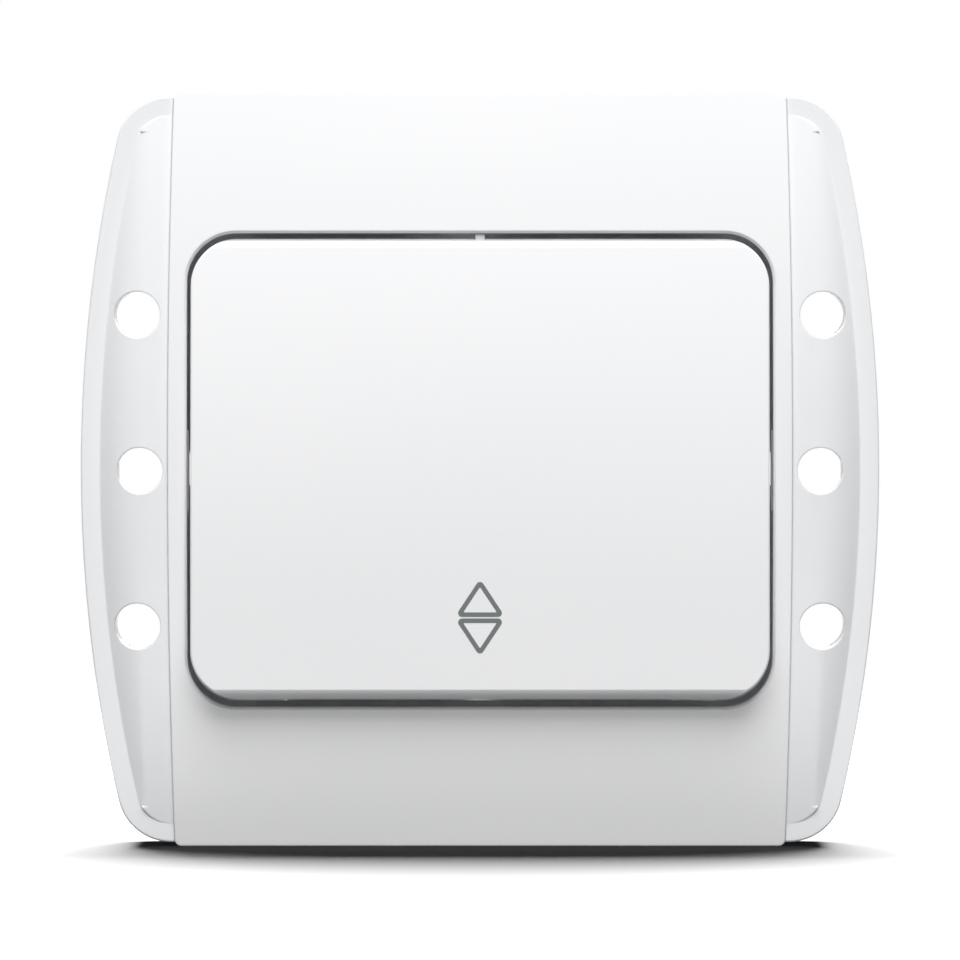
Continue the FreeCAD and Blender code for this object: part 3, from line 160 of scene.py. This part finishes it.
def metalFinish(look):
    material, tree = newMaterial(look["material"])
    place = addNode(tree, "TexCoord").outputs["Object"]
    stretched = addNode(tree, "Mapping", Vector=place,
                        Scale=[1 / (size * mm) for size in look["streak"]])
    marks = addNode(tree, "TexNoise", Vector=stretched.outputs["Vector"], Scale=1.0, Detail=2.0)
    slow = addNode(tree, "TexNoise", Vector=place, Scale=1 / (look["driftMm"] * mm), Detail=2.0)
    change = slow.outputs["Fac"]
    if "spangleMm" in look:
        crystals = addNode(tree, "TexVoronoi", Vector=place, Scale=1 / (look["spangleMm"] * mm))
        shade = addNode(tree, "SeparateColor", Color=crystals.outputs["Color"])
        change = shade.outputs["Red"]
    tint = addNode(tree, "Mix", {"data_type": "RGBA"}, at0=change,
                   at6=linear(look["base"]), at7=linear(look["drift"]))
    gloss = addNode(tree, "MapRange", Value=marks.outputs["Fac"],
                    To_Min=look["roughness"] - metalSpread["smoother"],
                    To_Max=look["roughness"] + metalSpread["rougher"])
    relief = addNode(tree, "Bump", Height=marks.outputs["Fac"], Strength=1.0,
                     Distance=look["heightMm"] * mm)
    shader = addNode(tree, "BsdfPrincipled", Base_Color=tint.outputs[2], Metallic=1.0,
                     Roughness=gloss.outputs["Result"], Normal=relief.outputs["Normal"])
    addNode(tree, "OutputMaterial", Surface=shader.outputs["BSDF"])
    return material


finishes = {slot: mouldedPlastic(look) for slot, look in mouldedPlastics.items()}
finishes.update({slot: metalFinish(look) for slot, look in metals.items()})
for subpart in frame["record"]["subparts"]:
    mesh = nodes[subpart["node"]].data
    mesh.materials.clear()
    mesh.materials.append(finishes[subpart["material_slot"]])
print("finishes:", len(finishes))

# The printed sign on the key: two outlined triangles, one over the other.
sign = {
    "widthMm": 5.35,         # of each triangle before its corners are rounded
    "heightMm": 4.05,
    "strokeMm": 0.48,
    "cornerMm": 0.42,        # outer rounding of the corners
    "innerCornerMm": 0.08,   # the least that the inner corners are rounded
    "cornerSteps": 7,
    "upperBaseMm": -15.42,   # height of the upper triangle's base on the key
    "lowerTopMm": -15.58,
    "inkMm": 0.02,           # how far the print stands off the plastic
    "rootMm": 0.01,          # how far its underside lies in the plastic
    "probeM": 0.05,          # the key's surface is looked for from this far in front
    "colour": "#5E6464",
    "drift": "#6A7070",      # thinner ink
    "driftMm": 0.25,
    "roughness": 0.5,
    "ior": 1.5,
}


def roundedTriangle(width, height, corner):
    # the outline of an upright triangle on the level z = 0 with rounded corners, counter-clockwise
    sharp = [Vector((-width / 2, 0)), Vector((width / 2, 0)), Vector((0, height))]
    outline = []
    for at, point in enumerate(sharp):
        before = (sharp[at - 1] - point).normalized()
        after = (sharp[(at + 1) % 3] - point).normalized()
        half = before.angle(after) / 2
        centre = point + (before + after).normalized() * corner / math.sin(half)
        start = point + before * corner / math.tan(half) - centre
        end = point + after * corner / math.tan(half) - centre
        turn = math.atan2(end.y, end.x) - math.atan2(start.y, start.x)
        turn = (turn + math.pi) % (2 * math.pi) - math.pi
        first = math.atan2(start.y, start.x)
        for step in range(sign["cornerSteps"] + 1):
            angle = first + turn * step / sign["cornerSteps"]
            outline.append(centre + Vector((math.cos(angle), math.sin(angle))) * corner)
    return outline


def offsetTriangle(width, height, stroke, corner):
    # the inner outline: the same triangle moved inwards by the stroke
    slant = math.hypot(width / 2, height)
    scale = 1 - stroke * (width + 2 * slant) / (width * height)
    rounding = max(corner - stroke, sign["innerCornerMm"])
    inner = roundedTriangle(width * scale, height * scale, rounding)
    return [point + Vector((0, stroke)) for point in inner]


def signPiece():
    keySurface = BVHTree.FromObject(nodes["rocker"], bpy.context.evaluated_depsgraph_get())
    made = bmesh.new()
    outer = roundedTriangle(sign["widthMm"], sign["heightMm"], sign["cornerMm"])
    inner = offsetTriangle(sign["widthMm"], sign["heightMm"], sign["strokeMm"], sign["cornerMm"])
    for flip, level in ((1, sign["upperBaseMm"]), (-1, sign["lowerTopMm"])):
        placed = []
        for ring in (outer, inner):
            row = []
            for point in ring:
                start = Vector((point.x * mm, -sign["probeM"], (level + flip * point.y) * mm))
                hit, normal, *_ = keySurface.ray_cast(start, Vector((0, 1, 0)))
                row.append((hit, hit + normal * sign["inkMm"] * mm))
            placed.append(row)
        count = len(placed[0])
        root = Vector((0, sign["rootMm"] * mm, 0))
        low = [[made.verts.new(under + root) for under, over in row] for row in placed]
        high = [[made.verts.new(over) for under, over in row] for row in placed]
        for at in range(count):
            on = (at + 1) % count
            loops = [(high[0][at], high[0][on], high[1][on], high[1][at]),
                     (low[0][on], low[0][at], low[1][at], low[1][on]),
                     (low[0][at], low[0][on], high[0][on], high[0][at]),
                     (low[1][on], low[1][at], high[1][at], high[1][on])]
            for loop in loops:
                made.faces.new(loop)
    bmesh.ops.recalc_face_normals(made, faces=made.faces)
    return meshPiece(made, "printedTriangles")


def printInk():
    # pad-printed grey ink: matt, thinner in tiny places so that the edge isn't a flat tone
    material, tree = newMaterial("padPrintedInk_grey")
    place = addNode(tree, "TexCoord").outputs["Object"]
    specks = addNode(tree, "TexNoise", Vector=place, Scale=1 / (sign["driftMm"] * mm), Detail=3.0)
    tint = addNode(tree, "Mix", {"data_type": "RGBA"}, at0=specks.outputs["Fac"],
                   at6=linear(sign["colour"]), at7=linear(sign["drift"]))
    shader = addNode(tree, "BsdfPrincipled", Base_Color=tint.outputs[2],
                     Roughness=sign["roughness"], IOR=sign["ior"])
    addNode(tree, "OutputMaterial", Surface=shader.outputs["BSDF"])
    return material


printed = signPiece()
printed.data.materials.append(printInk())
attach(printed, "key")
print("sign printed on the key")

# Floor, background, lamps and camera.
studio = {
    "floorLevelMm": -40.25,       # just under the centre plate's lower end, which the switch stands on
    "floorHalfM": 3.0,
    "floorCuts": 6,
    # The board is grey under a strong lamp of its own. It shows white, and the shadow goes nearly
    # black where the switch stands, because little of what the white switch throws down comes back.
    "floorColour": "#5A5A5A",     # as the camera and reflections see the board
    "floorBounce": "#141414",     # as diffuse light sees it, so that little comes up from below
    "clearFromM": 0.1,            # from here the board fades to the white of the background
    "clearToM": 0.3,
    "skyLevel": 0.12,
    "skyColour": "#FDFEFF",
    "lampColour": "#FFFFFF",
    "cameraDistanceM": 0.6,
    "cameraRiseDeg": 1.6,
    "sensorMm": 36.0,
    "nearestM": 0.01,             # the camera sees from this distance on
    "pixelsPerMm": 9.4,
    "pictureSide": 960,
    "centreUpPixels": 9.7,        # the object's centre stands this far above the picture's centre
    "aimMm": (0.0, -8.0, 0.0),
}

# The lamps: two soft ones high in front light the switch. The low one stands for the light that
# comes up from a white table, so the board doesn't block it. The rear one shows the mechanism from
# behind and doesn't reach the front. The last lights only the board, from behind and above, so that
# the switch throws its soft shadow forwards.
lamps = {
    "overheadSoftbox": dict(place=(0.0, -1.5, 2.6), size=(2.6, 1.6), watts=114.0),
    "upperSoftbox": dict(place=(0.0, -1.0, 2.6), size=(2.4, 0.9), watts=20.0),
    "lowSoftbox": dict(place=(0.0, -1.2, -0.5), size=(1.4, 0.5), watts=4.4, throughBoard=True),
    "rearSoftbox": dict(place=(0.5, 1.6, 0.8), size=(1.4, 1.0), watts=30.0),
    "floorSoftbox": dict(place=(0.0, 0.43, 1.15), size=(1.3, 0.6), watts=370.0, onFloor=True),
}


def shownRays(tree):
    # 1 for the rays that show the background: the camera's own, and those off gloss and through glass
    rays = addNode(tree, "LightPath").outputs
    shown = addNode(tree, "Math", {"operation": "MAXIMUM"}, at0=rays["Is Camera Ray"],
                    at1=rays["Is Glossy Ray"])
    shown = addNode(tree, "Math", {"operation": "MAXIMUM"}, at0=shown.outputs["Value"],
                    at1=rays["Is Transmission Ray"])
    return shown.outputs["Value"]


def makeFloor():
    made = bmesh.new()
    half = studio["floorHalfM"]
    level = studio["floorLevelMm"] * mm
    sides = ((-half, -half), (half, -half), (half, half), (-half, half))
    made.faces.new([made.verts.new((x, y, level)) for x, y in sides])
    bmesh.ops.subdivide_edges(made, edges=made.edges[:], cuts=studio["floorCuts"],
                              use_grid_fill=True)
    floor = meshPiece(made, "studioFloor")
    material, tree = newMaterial("paintedBoard_white")
    bounced = addNode(tree, "BsdfDiffuse", Color=linear(studio["floorBounce"]))
    seen = addNode(tree, "BsdfDiffuse", Color=linear(studio["floorColour"]))
    place = addNode(tree, "TexCoord").outputs["Object"]
    away = addNode(tree, "VectorMath", {"operation": "LENGTH"}, at0=place)
    clear = addNode(tree, "MapRange", {"interpolation_type": "SMOOTHSTEP"}, Value=away.outputs["Value"],
                    at1=studio["clearFromM"], at2=studio["clearToM"])
    white = addNode(tree, "Emission", Color=(1, 1, 1, 1), Strength=1.0)
    fading = addNode(tree, "MixShader", at0=clear.outputs["Result"], at1=seen.outputs["BSDF"],
                     at2=white.outputs["Emission"])
    both = addNode(tree, "MixShader", at0=shownRays(tree), at1=bounced.outputs["BSDF"],
                   at2=fading.outputs["Shader"])
    addNode(tree, "OutputMaterial", Surface=both.outputs["Shader"])
    floor.data.materials.append(material)
    return floor


def makeSky():
    world = bpy.data.worlds.new("studioSky")
    world.use_nodes = True
    bpy.context.scene.world = world
    tree = world.node_tree
    tree.nodes.clear()
    sky = addNode(tree, "Background", Color=linear(studio["skyColour"]), Strength=studio["skyLevel"])
    white = addNode(tree, "Background", Color=(1, 1, 1, 1), Strength=1.0)
    both = addNode(tree, "MixShader", at0=shownRays(tree), at1=sky.outputs["Background"],
                   at2=white.outputs["Background"])
    addNode(tree, "OutputWorld", Surface=both.outputs["Shader"])


def boardOnly(name, floor, included):
    # a light linking group that takes in just the board, or all but the board
    group = bpy.data.collections.new(name)
    group.objects.link(floor)
    group.collection_objects[0].light_linking.link_state = "INCLUDE" if included else "EXCLUDE"
    return group


def makeLamp(name, look, floor):
    lamp = bpy.data.lights.new(name, "AREA")
    lamp.shape = "RECTANGLE"
    lamp.size, lamp.size_y = look["size"]
    lamp.energy = look["watts"]
    lamp.color = linear(studio["lampColour"])[:3]
    holder = bpy.data.objects.new(name, lamp)
    bpy.context.scene.collection.objects.link(holder)
    holder.location = look["place"]
    holder.rotation_euler = (-Vector(look["place"])).to_track_quat("-Z", "Y").to_euler()
    holder.light_linking.receiver_collection = boardOnly(name + "_reach", floor, "onFloor" in look)
    if "throughBoard" in look:
        holder.light_linking.blocker_collection = boardOnly(name + "_shadow", floor, False)


def makeCamera():
    aim = Vector(studio["aimMm"]) * mm
    rise = math.radians(studio["cameraRiseDeg"])
    distance = studio["cameraDistanceM"]
    camera = bpy.data.cameras.new("photographView")
    camera.sensor_width = studio["sensorMm"]
    frameWidth = studio["pictureSide"] / studio["pixelsPerMm"] * mm
    camera.lens = camera.sensor_width * distance / frameWidth
    camera.shift_y = -studio["centreUpPixels"] / studio["pictureSide"]
    camera.clip_start = studio["nearestM"]
    holder = bpy.data.objects.new("photographView", camera)
    bpy.context.scene.collection.objects.link(holder)
    holder.location = aim + Vector((0, -math.cos(rise), math.sin(rise))) * distance
    holder.rotation_euler = (aim - holder.location).to_track_quat("-Z", "Y").to_euler()
    bpy.context.scene.camera = holder


floor = makeFloor()
makeSky()
for name, look in lamps.items():
    makeLamp(name, look, floor)
makeCamera()
bpy.context.scene.view_settings.view_transform = "Standard"
print("studio ready")
